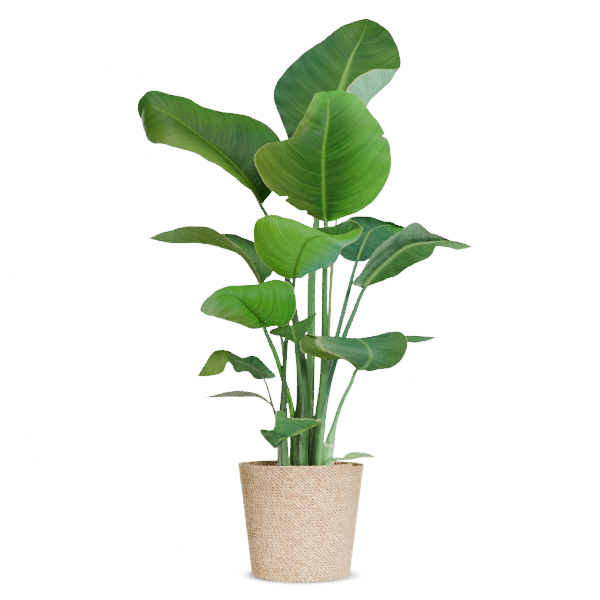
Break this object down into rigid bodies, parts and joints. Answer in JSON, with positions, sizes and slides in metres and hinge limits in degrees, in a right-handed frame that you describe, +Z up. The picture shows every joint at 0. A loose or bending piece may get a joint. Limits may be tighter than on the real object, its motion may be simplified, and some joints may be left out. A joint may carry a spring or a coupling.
{
  "type": "potted bird of paradise plant",
  "caption": "Bird of paradise houseplant: broad paddle leaves on long stalks from one clump, in a nursery pot inside a tapered woven seagrass basket.",
  "frame": {"origin": "on the floor, at the centre of the basket's base", "axes": "+Z up, -Y towards the front, +X to the right seen from the front"},
  "size_m": [0.7785, 0.399, 1.2987],
  "materials": {
    "seagrass": "twisted seagrass rope, coiled in rows, dry and matte",
    "liner_film": "thin milky film, soft sheen",
    "pot_plastic": "satin black moulded plastic",
    "soil": "moist crumbly peat mix",
    "root_crown": "fibrous brown-green rootstock",
    "blade": "waxy leaf, parallel side veins, paler underside",
    "petiole": "smooth waxy leaf stalk, blue-green bloom",
    "young_leaf": "rolled young leaf, pale green"
  },
  "bodies": {
    "root": {"basket": "seagrass", "basket_liner": "liner_film", "nursery_pot": "pot_plastic", "soil": "soil", "root_crown": "root_crown", "petiole_top": "petiole", "blade_top": "blade", "petiole_upper_left": "petiole", "blade_upper_left": "blade", "petiole_front": "petiole", "blade_front": "blade", "petiole_middle": "petiole", "blade_middle": "blade", "petiole_left": "petiole", "blade_left": "blade", "petiole_lower_left": "petiole", "blade_lower_left": "blade", "petiole_back_right": "petiole", "blade_back_right": "blade", "petiole_right": "petiole", "blade_right": "blade", "petiole_lower_right": "petiole", "blade_lower_right": "blade", "petiole_small_centre": "petiole", "blade_small_centre": "blade", "petiole_left_small": "petiole", "blade_left_small": "blade", "petiole_left_thin": "petiole", "blade_left_thin": "blade", "petiole_base_left": "petiole", "blade_base_left": "blade", "petiole_base_right": "petiole", "blade_base_right": "blade", "new_leaf_spear": "young_leaf"}
  },
  "joints": []
}
